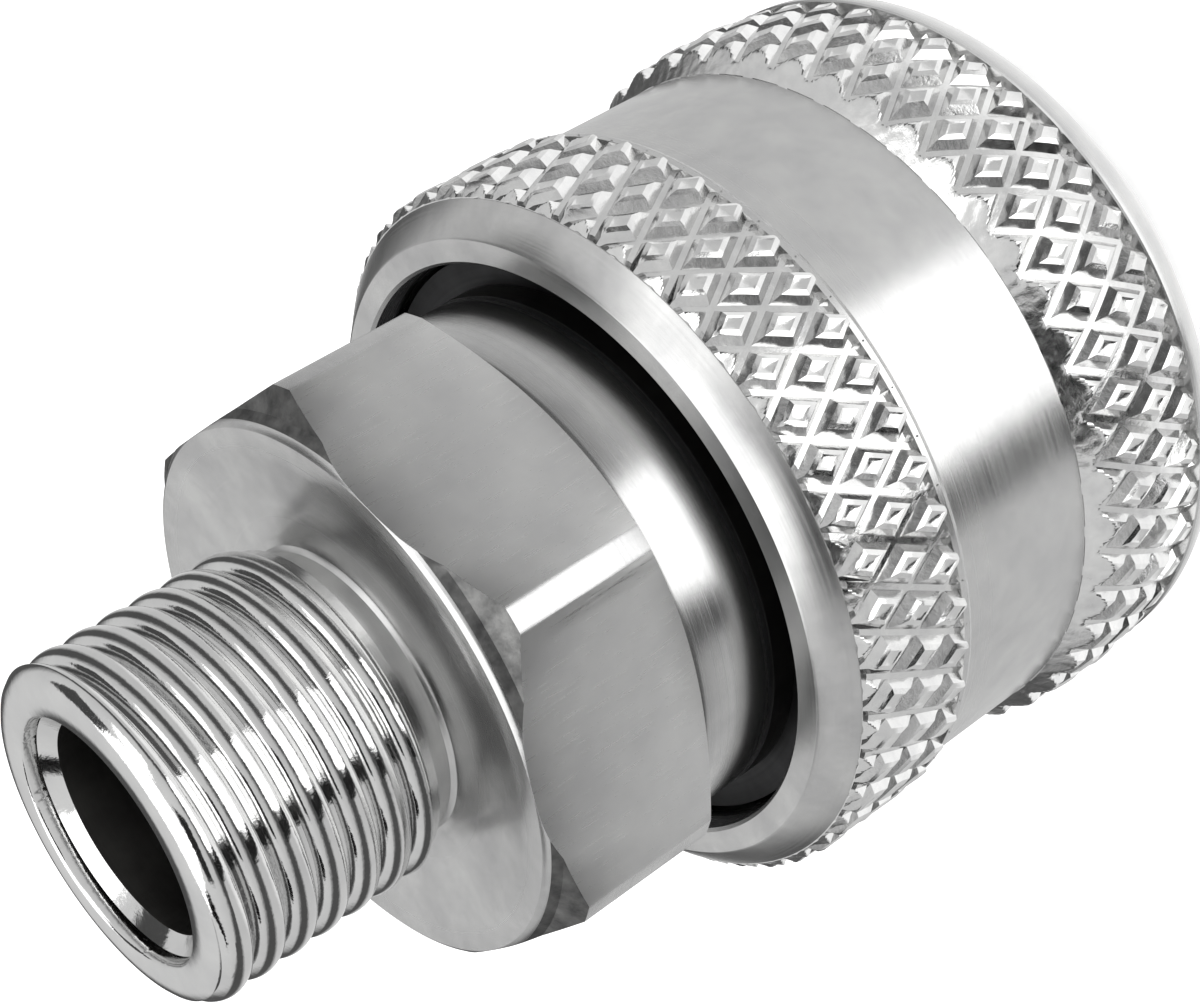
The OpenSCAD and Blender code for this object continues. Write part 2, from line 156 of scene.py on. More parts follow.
def metalFinish(name, look):
    # the grain is rings about the axis, or lines along it that a stretch of 1 makes even all ways
    material, tree = startMaterial(name)
    place = addNode(tree, "TexCoord")
    apart = addNode(tree, "SeparateXYZ", links={0: place.outputs["Object"]})
    if look["grain"] == "rings":
        squareX = addNode(tree, "Math", {"operation": "MULTIPLY"}, {0: apart.outputs[0], 1: apart.outputs[0]})
        squareY = addNode(tree, "Math", {"operation": "MULTIPLY_ADD"},
                          {0: apart.outputs[1], 1: apart.outputs[1], 2: squareX.outputs[0]})
        radius = addNode(tree, "Math", {"operation": "SQRT"}, {0: squareY.outputs[0]})
        lined = addNode(tree, "CombineXYZ", {1: 0.0}, {0: radius.outputs[0], 2: apart.outputs[2]})
        stretched = lined.outputs[0]
        scale = (1, 1, 1)
    else:
        stretched = place.outputs["Object"]
        scale = (1, 1, look.get("stretch", 0.04))
    spread = addNode(tree, "Mapping", {"Scale": scale}, {"Vector": stretched})
    grain = addNode(tree, "TexNoise", {"Scale": 1000 / look["grainSize"], "Detail": 4.0, "Roughness": 0.65},
                    {"Vector": spread.outputs[0]})
    cloud = addNode(tree, "TexNoise", {"Scale": 1000 / look["cloudSize"], "Detail": 3.0, "Roughness": 0.55},
                    {"Vector": place.outputs["Object"]})
    # few deeper marks, drawn as coarse as they need to show
    marks = addNode(tree, "TexNoise", {"Scale": 1000 / look["markSize"], "Detail": 1.0},
                    {"Vector": spread.outputs[0]})
    rareMarks = addNode(tree, "MapRange",
                        {"From Min": look.get("markLevel", 0.68), "From Max": 0.8, "To Max": 1.0},
                        {"Value": marks.outputs["Fac"]})
    tone = addNode(tree, "ValToRGB", {}, {"Fac": cloud.outputs["Fac"]})
    tone.color_ramp.elements[0].position = 0.3
    tone.color_ramp.elements[0].color = hexColour(look["dark"])
    tone.color_ramp.elements[1].position = 0.7
    tone.color_ramp.elements[1].color = hexColour(look["light"])
    rough = addNode(tree, "MapRange", {"From Min": 0.25, "From Max": 0.75,
                                       "To Min": look["rough"][0], "To Max": look["rough"][1]},
                    {"Value": grain.outputs["Fac"]})
    rougher = addNode(tree, "Math", {"operation": "MULTIPLY_ADD", 1: look.get("markRough", 0.12)},
                      {0: rareMarks.outputs[0], 2: rough.outputs[0]})
    fine = addNode(tree, "Bump", {"Strength": look["bump"], "Distance": look["grainDepth"] * mm},
                   {"Height": grain.outputs["Fac"]})
    swell = addNode(tree, "Bump",
                    {"Strength": look.get("swell", 0.1), "Distance": look.get("swellDepth", 0.02) * mm},
                    {"Height": cloud.outputs["Fac"], "Normal": fine.outputs[0]})
    shader = addNode(tree, "BsdfPrincipled", {"Metallic": 1.0, "Anisotropic": look.get("anisotropic", 0.0)},
                     {"Base Color": tone.outputs[0], "Roughness": rougher.outputs[0],
                      "Normal": swell.outputs[0]})
    if look.get("anisotropic"):
        along = addNode(tree, "Tangent", {"direction_type": "RADIAL", "axis": "Z"})
        tree.links.new(along.outputs[0], shader.inputs["Tangent"])
    addNode(tree, "OutputMaterial", {}, {"Surface": shader.outputs[0]})
    return material


def softFinish(name, look):
    # rubber or plastic: fine moulded grain over a faint unevenness of tone
    material, tree = startMaterial(name)
    place = addNode(tree, "TexCoord")
    grain = addNode(tree, "TexNoise", {"Scale": 1000 / look["grainSize"], "Detail": 3.0},
                    {"Vector": place.outputs["Object"]})
    cloud = addNode(tree, "TexNoise", {"Scale": 1000 / look["cloudSize"], "Detail": 2.0},
                    {"Vector": place.outputs["Object"]})
    tone = addNode(tree, "ValToRGB", {}, {"Fac": cloud.outputs["Fac"]})
    tone.color_ramp.elements[0].color = hexColour(look["dark"])
    tone.color_ramp.elements[1].color = hexColour(look["light"])
    rough = addNode(tree, "MapRange", {"To Min": look["rough"][0], "To Max": look["rough"][1]},
                    {"Value": grain.outputs["Fac"]})
    fine = addNode(tree, "Bump", {"Strength": look["bump"], "Distance": look["grainDepth"] * mm},
                   {"Height": grain.outputs["Fac"]})
    shader = addNode(tree, "BsdfPrincipled", {"IOR": look["ior"]},
                     {"Base Color": tone.outputs[0], "Roughness": rough.outputs[0],
                      "Normal": fine.outputs[0]})
    addNode(tree, "OutputMaterial", {}, {"Surface": shader.outputs[0]})
    return material


# bright nickel over turned brass: mirror-like, with a faint waviness from the plating
brightNickel = metalFinish("brightNickelPlate", {
    "grain": "lines", "stretch": 1.0, "grainSize": 0.45, "cloudSize": 2.0, "markSize": 0.4,
    "dark": "d0d0d0", "light": "dcdcdb", "rough": (0.05, 0.12), "bump": 0.5, "grainDepth": 0.016,
    "swell": 0.3, "swellDepth": 0.03})
# satin nickel on the turned cylinders: soft-edged reflections and a slight mottle
satinNickel = metalFinish("satinNickelPlate", {
    "grain": "rings", "grainSize": 0.12, "cloudSize": 1.6, "markSize": 0.5, "dark": "c4c4c4",
    "light": "d0d0cf", "rough": (0.2, 0.3), "bump": 0.2, "grainDepth": 0.003, "swell": 0.12,
    "swellDepth": 0.02})
# faced on the lathe, then plated: fine rings that fan the reflections out from the axis
turnedNickel = metalFinish("facedNickelPlate", {
    "grain": "rings", "grainSize": 0.1, "cloudSize": 2.2, "markSize": 0.4, "dark": "b6b6b6",
    "light": "cccccb", "rough": (0.18, 0.3), "bump": 0.25, "grainDepth": 0.004, "swell": 0.1,
    "swellDepth": 0.02, "anisotropic": 0.7})
# milled flats: fine lines along the coupling and a few short scratches
milledNickel = metalFinish("milledNickelPlate", {
    "grain": "lines", "stretch": 0.06, "grainSize": 0.09, "cloudSize": 2.5, "markSize": 0.16,
    "markLevel": 0.7, "dark": "bababa", "light": "c6c6c5", "rough": (0.24, 0.38), "bump": 0.45,
    "grainDepth": 0.005, "swell": 0.04, "swellDepth": 0.01})
# rolled knurl: burnished faces, each a little uneven
knurledNickel = metalFinish("knurledNickelPlate", {
    "grain": "lines", "stretch": 1.0, "grainSize": 0.35, "cloudSize": 1.1, "markSize": 0.4,
    "dark": "d2d2d2", "light": "e4e4e3", "rough": (0.1, 0.24), "bump": 0.4, "grainDepth": 0.02,
    "swell": 0.3, "swellDepth": 0.03})
# the bores and the gap behind the sleeve: rough nickel painted dark, painted shade where little light gets in
paintedShadeNickel = metalFinish("paintedShadeBoreNickelPlate", {
    "grain": "rings", "grainSize": 0.2, "cloudSize": 2.0, "markSize": 0.5, "dark": "3a3938",
    "light": "4c4b49", "rough": (0.35, 0.5), "bump": 0.4, "grainDepth": 0.01})
# the chamfers at the hexagon's corners, painted dark: a painted dark reflection where the metal would show
# white
paintedDarkEdgeNickel = metalFinish("paintedDarkEdgeNickelPlate", {
    "grain": "lines", "stretch": 1.0, "grainSize": 0.12, "cloudSize": 0.8, "markSize": 0.3,
    "dark": "4a4a4a", "light": "7c7c7b", "rough": (0.3, 0.5), "bump": 0.5, "grainDepth": 0.02})
ballSteel = metalFinish("polishedBallSteel", {
    "grain": "lines", "stretch": 1.0, "grainSize": 0.2, "cloudSize": 1.0, "markSize": 0.4,
    "dark": "c2c3c5", "light": "d6d6d7", "rough": (0.04, 0.08), "bump": 0.1, "grainDepth": 0.002})
# steel of the washer and the snap ring, painted dark: painted shade in the gap behind the sleeve
paintedShadeGapSteel = metalFinish("paintedShadeGapSteel", {
    "grain": "rings", "grainSize": 0.2, "cloudSize": 1.5, "markSize": 0.4, "dark": "242425",
    "light": "333334", "rough": (0.35, 0.5), "bump": 0.2, "grainDepth": 0.004})
springSteel = metalFinish("drawnSpringSteel", {
    "grain": "lines", "stretch": 1.0, "grainSize": 0.25, "cloudSize": 1.5, "markSize": 0.3,
    "dark": "77797c", "light": "94969a", "rough": (0.25, 0.4), "bump": 0.3, "grainDepth": 0.006})
sealRubber = softFinish("mouldedEpdmRubber", {
    "grainSize": 0.08, "cloudSize": 1.5, "dark": "101010", "light": "1c1c1c", "rough": (0.4, 0.6),
    "bump": 0.2, "grainDepth": 0.01, "ior": 1.52})
backupPtfe = softFinish("skivedPtfe", {
    "grainSize": 0.1, "cloudSize": 1.2, "dark": "dcd8cf", "light": "eeebe4", "rough": (0.35, 0.5),
    "bump": 0.15, "grainDepth": 0.008, "ior": 1.35})
print("materials ready")


# camera, floor and light

viewPoint = {"place": (6.227, -86.867, 73.133), "turn": (-41.2351, 46.9377, -136.7812), "lens": 80.607}
clearSelection()
bpy.ops.object.camera_add(location=[v * mm for v in viewPoint["place"]],
                          rotation=[math.radians(v) for v in viewPoint["turn"]])
camera = bpy.context.active_object
camera.name = "mainCamera"
camera.data.sensor_width = 36
camera.data.lens = viewPoint["lens"]
camera.data.clip_start = 0.005
camera.data.clip_end = 20
bpy.context.scene.camera = camera

scene = bpy.context.scene
scene.view_settings.view_transform = "Standard"
world = bpy.data.worlds.new("paleRoom")
scene.world = world
world.use_nodes = True
world.node_tree.nodes["Background"].inputs["Color"].default_value = (1, 1, 1, 1)
world.node_tree.nodes["Background"].inputs["Strength"].default_value = 1.0

clearSelection()
bpy.ops.mesh.primitive_plane_add(size=6, location=(0, 0, 0))
floor = bpy.context.active_object
floor.name = "paleFloor"
floorPaint, floorTree = startMaterial("paleFloorPaint")
floorGrain = addNode(floorTree, "TexNoise", {"Scale": 900.0, "Detail": 2.0},
                     {"Vector": addNode(floorTree, "TexCoord").outputs["Object"]})
floorTone = addNode(floorTree, "ValToRGB", {}, {"Fac": floorGrain.outputs["Fac"]})
floorTone.color_ramp.elements[0].color = hexColour("fbfbfb")
floorTone.color_ramp.elements[1].color = hexColour("ffffff")
floorShader = addNode(floorTree, "BsdfPrincipled", {"Roughness": 0.9, "Specular IOR Level": 0.2,
                                                    "Emission Color": (1, 1, 1, 1), "Emission Strength": 0.5},
                      {"Base Color": floorTone.outputs[0]})
addNode(floorTree, "OutputMaterial", {}, {"Surface": floorShader.outputs[0]})
floor.data.materials.append(floorPaint)
floor.visible_glossy = False

# studio cards: the metal sees them, the camera and the floor don't. Each has a direction from the
# coupling, a size in degrees across and up, and a brightness from black to white.
studioCards = {
    "overheadWhite": {"from": (100, 89), "size": (52, 52), "level": 2.4},
    "lowWhite": {"from": (262, -24), "size": (46, 44), "level": 2.4},
    "lowDark": {"from": (226, -26), "size": (15, 44), "level": 0.02},
    "sideDark": {"from": (161, 50), "size": (14, 24), "level": 0.01},
    "farDark": {"from": (30, 47), "size": (26, 30), "level": 0.08},
    "rightDark": {"from": (238, 48), "size": (38, 22), "level": 0.03},
    "leftWhite": {"from": (322, 50), "size": (28, 22), "level": 2.0},
}
# a pale table below, a dark belt at the horizon and a grey room above
roomBands = [(-0.86, 0.62), (-0.72, 0.55), (-0.62, 0.36), (-0.32, 0.36),
             (-0.2, 0.05), (0.06, 0.05), (0.25, 0.36), (0.7, 0.42)]
studioSizes = {"cardDistance": 400, "cardMiddle": 24, "roomRadius": 1000, "roomMiddle": 20, "roomLevel": 2.0}


def glossyOnly(piece):
    piece.visible_camera = False
    piece.visible_diffuse = False
    piece.visible_shadow = False
    piece.visible_transmission = False


def roomPaint(name, bands, strength):
    # brightness by height round the coupling, each band being (sine of the elevation, level)
    paint, tree = startMaterial(name)
    place = addNode(tree, "TexCoord")
    apart = addNode(tree, "SeparateXYZ", {}, {0: place.outputs["Object"]})
    height = addNode(tree, "MapRange", {"From Min": -1.0, "From Max": 1.0}, {"Value": apart.outputs[2]})
    level = addNode(tree, "ValToRGB", {}, {"Fac": height.outputs[0]})
    stops = level.color_ramp.elements
    for number, (sine, bright) in enumerate(bands):
        stop = stops[number] if number < 2 else stops.new((sine + 1) / 2)
        stop.position = (sine + 1) / 2
        stop.color = (bright, bright, bright, 1)
    glow = addNode(tree, "Emission", {"Strength": strength}, {"Color": level.outputs[0]})
    addNode(tree, "OutputMaterial", {}, {"Surface": glow.outputs[0]})
    paint.cycles.emission_sampling = "NONE"
    return paint


def glowPaint(name, level):
    paint, tree = startMaterial(name)
    glow = addNode(tree, "Emission", {"Color": (1, 1, 1, 1), "Strength": level})
    addNode(tree, "OutputMaterial", {}, {"Surface": glow.outputs[0]})
    paint.cycles.emission_sampling = "NONE"
    return paint


clearSelection()
bpy.ops.mesh.primitive_ico_sphere_add(subdivisions=3, radius=studioSizes["roomRadius"] * mm,
                                      location=(0, 0, studioSizes["roomMiddle"] * mm))
room = bpy.context.active_object
room.name = "greyRoom"
room.data.materials.append(roomPaint("greyRoomPaint", roomBands, studioSizes["roomLevel"]))
glossyOnly(room)
cardFar = studioSizes["cardDistance"] * mm
cardCentre = Vector((0, 0, studioSizes["cardMiddle"] * mm))
for cardName, card in studioCards.items():
    clearSelection()
    turn, lift = (math.radians(v) for v in card["from"])
    way = Vector((math.cos(lift) * math.cos(turn), math.cos(lift) * math.sin(turn), math.sin(lift)))
    bpy.ops.mesh.primitive_plane_add(size=1, location=cardCentre + way * cardFar,
                                     rotation=way.to_track_quat("Z", "Y").to_euler())
    piece = bpy.context.active_object
    piece.name = cardName
    piece.scale = [2 * cardFar * math.tan(math.radians(v / 2)) for v in card["size"]] + [1]
    piece.data.materials.append(glowPaint(cardName + "Paint", card["level"]))
    glossyOnly(piece)
print("studio ready")


# adapter: hexagon, threaded tip and spigot in one piece

adapterSizes = {
    "acrossFlats": 21.0, "cornerR": 11.85, "under": 26.6, "underR": 10.4, "underChamfer": 0.78,
    "shoulder": 34.2, "tip": 44.4, "faceR": 10.6, "rim": 0.7, "dish": 0.4, "chamferLow": 33.15,
    "chamferR": 10.95, "chamferTop": 33.67, "stepR": 10.72, "stepZ": 34.0, "reliefR": 5.6,
    "reliefTop": 34.75, "boreR": 4.2, "boreLow": 30.02, "sinkR": 4.7, "sinkDeep": 1.05, "spigotR": 8.85,
    "spigotLow": 23.0, "spigotChamfer": 0.3, "sealLow": 24.93, "sealTop": 26.07, "sealDeep": 0.93,
    "cavityR": 7.02, "cavityTop": 27.2, "edge": 0.05, "threadR": 6.5785, "pitch": 1.337,
    "threadDeep": 0.45, "threadLow": 34.9, "tipRound": 0.8,
}


def makeAdapter():
    s = adapterSizes
    # the core stays just inside the thread's own mesh, which closes over it
    coreR = s["threadR"] - s["threadDeep"] + 0.02
    coreTop = s["tip"] - 0.2
    sealR = s["spigotR"] - s["sealDeep"]
    spigotAndHexagon = [
        (s["cavityR"], s["spigotLow"]), (s["spigotR"] - s["spigotChamfer"], s["spigotLow"]),
        (s["spigotR"], s["spigotLow"] + s["spigotChamfer"]), (s["spigotR"], s["sealLow"]),
        (sealR, s["sealLow"]), (sealR, s["sealTop"]), (s["spigotR"], s["sealTop"]),
        (s["spigotR"], s["under"]), (s["underR"], s["under"]),
        (s["cornerR"], s["under"] + s["underChamfer"]), (s["cornerR"], s["chamferLow"]),
        (s["chamferR"], s["chamferTop"]), (s["stepR"], s["stepZ"]), (s["faceR"], s["shoulder"] - 0.07),
        (s["faceR"] - 0.12, s["shoulder"])]
    # shallow dish between the rim and the relief groove
    dishR = s["faceR"] - s["rim"]
    dishZ = s["shoulder"] - s["dish"]
    dish = []
    for step in range(7):
        t = step / 6
        r = dishR - t * (dishR - s["reliefR"] - 0.5)
        dish.append((r, s["shoulder"] - s["dish"] * (1 - (1 - t) ** 2)))
    coreAndBore = [
        (s["reliefR"] + 0.15, dishZ + 0.03), (s["reliefR"], dishZ + 0.2), (s["reliefR"], s["reliefTop"]),
        (coreR, s["reliefTop"] + 0.2), (coreR, coreTop - 0.4), (coreR - 0.4, coreTop),
        (s["sinkR"] + 0.1, coreTop), (s["sinkR"] + 0.1, coreTop - 0.4), (s["boreR"], coreTop - 0.9),
        (s["boreR"], s["boreLow"]), (s["cavityR"], s["cavityTop"])]
    body = turnRings("hexAdapter", spigotAndHexagon + dish + coreAndBore, 240)
    # milled to six flats, with a corner on the Y axis
    clearSelection()
    cornerReach = s["acrossFlats"] / 2 / math.cos(math.radians(30))
    bpy.ops.mesh.primitive_cylinder_add(vertices=6, radius=cornerReach * mm, depth=30 * mm,
                                        location=(0, 0, 35 * mm))
    prism = bpy.context.active_object
    applyModifier(body, "BOOLEAN", operation="INTERSECT", object=prism, solver="EXACT")
    bpy.data.objects.remove(prism)
    applyModifier(body, "BEVEL", width=s["edge"] * mm, segments=2, limit_method="ANGLE",
                  angle_limit=math.radians(32), use_clamp_overlap=True)
    return body


def makeThread():
    # the outline of the whole thread is swept one full turn while it climbs one pitch
    s = adapterSizes
    pitch, deep, crest = s["pitch"], s["threadDeep"], s["threadR"]
    # rolled threads have broad rounded crests and narrow roots
    roundR, roundTurn, rootHalf = 0.6 * pitch, math.radians(34), 0.05 * pitch
    turns = 10
    low = s["threadLow"] - 1.6 * pitch
    outline = []
    for k in range(turns):
        mid = low + k * pitch
        outline += [(crest - deep, mid - rootHalf), (crest - deep, mid + rootHalf)]
        for step in range(-4, 5):
            a = step / 4 * roundTurn
            outline.append((crest - roundR + roundR * math.cos(a), mid + pitch / 2 + roundR * math.sin(a)))
    inner = s["sinkR"] + 0.05
    clearSelection()
    bpy.ops.mesh.primitive_plane_add(size=mm, location=(0, 0, 0))
    piece = bpy.context.active_object
    piece.name = "pipeThread"
    bpy.ops.object.mode_set(mode="EDIT")
    bpy.ops.mesh.select_all(action="SELECT")
    bpy.ops.mesh.merge(type="CENTER")
    bpy.ops.transform.translate(value=(outline[0][0] * mm, 0, outline[0][1] * mm))
    here = outline[0]
    path = outline[1:] + [(outline[0][0], outline[0][1] + turns * pitch)]
    lastZ = path[-1][1]
    path += [(inner, lastZ)] + [(inner, lastZ - (k + 1) * pitch) for k in range(turns)] + [outline[0]]
    for spot in path:
        bpy.ops.mesh.extrude_region_move(
            TRANSFORM_OT_translate={"value": ((spot[0] - here[0]) * mm, 0, (spot[1] - here[1]) * mm)})
        here = spot
    bpy.ops.mesh.select_all(action="SELECT")
    bpy.ops.mesh.remove_doubles(threshold=1e-7)
    bpy.ops.object.mode_set(mode="OBJECT")
    applyModifier(piece, "SCREW", angle=math.radians(360), screw_offset=pitch * mm,
                  steps=160, render_steps=160, use_merge_vertices=False)
    pickOnly(piece)
    bpy.ops.object.mode_set(mode="EDIT")
    bpy.ops.mesh.select_all(action="SELECT")
    bpy.ops.mesh.remove_doubles(threshold=2e-6)
    bpy.ops.mesh.select_all(action="DESELECT")
    bpy.ops.mesh.select_mode(type="EDGE")
    bpy.ops.mesh.select_non_manifold(extend=False, use_wire=False, use_boundary=True, use_multi_face=False,
                                     use_non_contiguous=False, use_verts=False)
    bpy.ops.mesh.fill()
    bpy.ops.mesh.select_all(action="SELECT")
    bpy.ops.mesh.normals_make_consistent(inside=False)
    bpy.ops.object.mode_set(mode="OBJECT")
    # the turned blank: run-out at the relief groove, rounded nose and countersink at the tip
    tip, tipRound = s["tip"], s["tipRound"]
    nose = [(crest + 0.02 - tipRound * (1 - math.cos(math.radians(a))) * 1.25,
             tip - tipRound * (1 - math.sin(math.radians(a)))) for a in (0, 20, 40, 60, 78, 90)]
    runOut = [(inner + 0.12, s["threadLow"]), (s["reliefR"] + 0.1, s["threadLow"]),
              (crest + 0.02, s["threadLow"] + 0.75)]
    sink = [(s["sinkR"] + 0.18, tip), (s["sinkR"], tip - 0.16), (s["sinkR"] - 0.04, tip - 0.3),
            (s["boreR"] + 0.02, tip - s["sinkDeep"]), (s["boreR"] + 0.02, tip - 1.6),
            (inner + 0.12, tip - 2.4)]
    blank = turnRings("blank", runOut + nose + sink, 240)
    applyModifier(piece, "BOOLEAN", operation="INTERSECT", object=blank, solver="EXACT")
    bpy.data.objects.remove(blank)
    return piece


def adapterFinish(c, normal, r, z):
    # 0 bright, 1 milled flats, 2 turned, 3 bores in painted shade, 4 corner chamfers with a painted dark
    # reflection
    a = adapterSizes
    facesIn = normal.xy.dot(c.xy) < 0
    slopesUp = 0.12 < normal.z < 0.93
    upright = abs(normal.z) < 0.05
    if r > a["underR"] and a["under"] + 0.9 < z < a["stepZ"] and slopesUp:
        return 4
    if r < a["boreR"] + 0.1 or (r < a["cavityR"] + 0.18 and z < a["boreLow"] + 0.48 and facesIn):
        return 3
    if z > a["shoulder"] + 0.4:
        return 0
    onFlats = a["underR"] - 0.1 < r < a["cornerR"] - 0.02 and a["under"] + 0.3 < z < a["stepZ"] + 0.1
    return 1 if onFlats and upright else 2


hexAdapter = makeAdapter()
pipeThread = makeThread()
smoothBy(hexAdapter, 25)
smoothBy(pipeThread, 50)
giveFinish(pipeThread, [brightNickel])
giveFinish(hexAdapter, [brightNickel, milledNickel, turnedNickel, paintedShadeNickel, paintedDarkEdgeNickel], adapterFinish)
hexAdapter = joinPieces(hexAdapter, [pipeThread])
dressPiece(hexAdapter, "body", "nickel_brass", "adapter")
print("adapter ready")


# socket tube: collar, grooves and the eight ball holes

tubeSizes = {
    "collarR": 10.4, "tubeR": 9.6, "boreR": 7.5, "guideR": 7.8, "guideTop": 4.6, "leadIn": 0.5,
    "paintedShadeBelow": 23.1, "satinBelow": 3.0, "chamberR": 8.4, "chamberZ": 13.6, "ledge": 21.6,
    "spigotR": 8.9, "top": 26.6, "stepZ": 14.2, "ballZ": 6.6, "ballR": 1.5, "balls": 8, "lipR": 1.36,
    "stopLow": 0.98, "stopTop": 1.72, "stopR": 9.0, "snapLow": 21.28, "snapTop": 22.12, "snapR": 9.9,
    "sealLow": 9.9, "sealTop": 11.9, "sealR": 8.7,
}


def makeTube():
    s = tubeSizes
    outline = [
        (s["guideR"] + s["leadIn"], 0), (s["tubeR"] - 0.3, 0), (s["tubeR"], 0.3),
        (s["tubeR"], s["stopLow"]), (s["stopR"], s["stopLow"]), (s["stopR"], s["stopTop"]),
        (s["tubeR"], s["stopTop"]), (s["tubeR"], s["stepZ"]), (s["collarR"], s["stepZ"] + 0.5),
        (s["collarR"], s["snapLow"]), (s["snapR"], s["snapLow"]), (s["snapR"], s["snapTop"]),
        (s["collarR"], s["snapTop"]), (s["collarR"], s["paintedShadeBelow"]), (s["collarR"], s["top"] - 0.22),
        (s["collarR"] - 0.05, s["top"] - 0.07), (s["collarR"] - 0.2, s["top"]), (s["spigotR"], s["top"]),
        (s["spigotR"], s["ledge"]), (s["chamberR"], s["ledge"]), (s["chamberR"], s["chamberZ"]),
        (s["boreR"], s["chamberZ"]), (s["boreR"], s["sealTop"]), (s["sealR"], s["sealTop"]),
        (s["sealR"], s["sealLow"]), (s["boreR"], s["sealLow"]), (s["boreR"], s["guideTop"] + 0.3),
        (s["guideR"], s["guideTop"]), (s["guideR"], s["leadIn"])]
    tube = turnRings("socketTube", outline, 192)
    # each ball hole is drilled from outside and leaves a narrow lip at the bore
    drillR = s["ballR"] + 0.03
    drillRings = [(s["lipR"], -2), (s["lipR"], 0.12), (drillR, 0.45), (drillR, 3.5)]
    hole = turnRings("ballDrill", drillRings, 48, closed=False)
    pickOnly(hole)
    bpy.ops.object.mode_set(mode="EDIT")
    bpy.ops.mesh.select_all(action="SELECT")
    bpy.ops.mesh.region_to_loop()
    bpy.ops.mesh.edge_face_add()
    bpy.ops.object.mode_set(mode="OBJECT")
    drills = []
    for i in range(s["balls"]):
        drill = hole.copy()
        drill.data = hole.data.copy()
        bpy.context.scene.collection.objects.link(drill)
        turn = i * 2 * math.pi / s["balls"]
        for v in drill.data.vertices:  # the upright drill is laid along its own hole
            out, side, rise = v.co.z + s["boreR"] * mm, v.co.y, s["ballZ"] * mm - v.co.x
            v.co = (out * math.cos(turn) - side * math.sin(turn),
                    out * math.sin(turn) + side * math.cos(turn), rise)
        drills.append(drill)
    bpy.data.objects.remove(hole)
    allDrills = joinPieces(drills[0], drills[1:])
    pickOnly(allDrills)
    bpy.ops.object.mode_set(mode="EDIT")
    bpy.ops.mesh.select_all(action="SELECT")
    bpy.ops.mesh.normals_make_consistent(inside=False)
    bpy.ops.object.mode_set(mode="OBJECT")
    applyModifier(tube, "BOOLEAN", operation="DIFFERENCE", object=allDrills, solver="EXACT")
    bpy.data.objects.remove(allDrills)
    return tube


def tubeFinish(c, normal, r, z):
    # 0 satin, 1 faced, 2 painted shade: the bore, and the outside as far down as the gap hides it
    if z > tubeSizes["satinBelow"] and (r < tubeSizes["stopR"] or z < tubeSizes["paintedShadeBelow"]):
        return 2
    return 1 if abs(normal.z) > 0.9 else 0


socketTube = makeTube()
smoothBy(socketTube, 25)
giveFinish(socketTube, [satinNickel, turnedNickel, paintedShadeNickel], tubeFinish)
dressPiece(socketTube, "body", "nickel_brass", "socket_body")
print("socket tube ready")


# release sleeve: turned shell with two rolled diamond knurls

sleeveSizes = {
    "low": 0.4, "top": 23.5, "noseR": 14.7, "noseRound": 1.5, "waistR": 13.95, "openingR": 11.8,
    "rearFaceR": 12.85, "rearCrest": 14.4, "rearLow": 17.5, "rimR": 14.28, "rimWide": 0.3,
    "frontCrest": 14.9, "frontLow": 4.6, "frontTop": 10.5, "crown": 0.25, "crownHalf": 2.8,
    "mouthR": 10.7, "counterZ": 11.0, "landR": 9.65, "landLow": 8.9, "releaseR": 10.566, "rampLow": 3.8,
    "releaseLow": 2.5, "lipR": 9.75, "lipTop": 2.37, "lipLow": 1.72,
}
knurlSizes = {
    "count": 48, "wrapR": 14.0, "tall": 3.25, "deep": 0.36, "valley": 0.11, "flank": 0.24, "dome": 0.18,
    "topWide": 0.1, "topDip": 0.03, "uneven": 0.035,
}


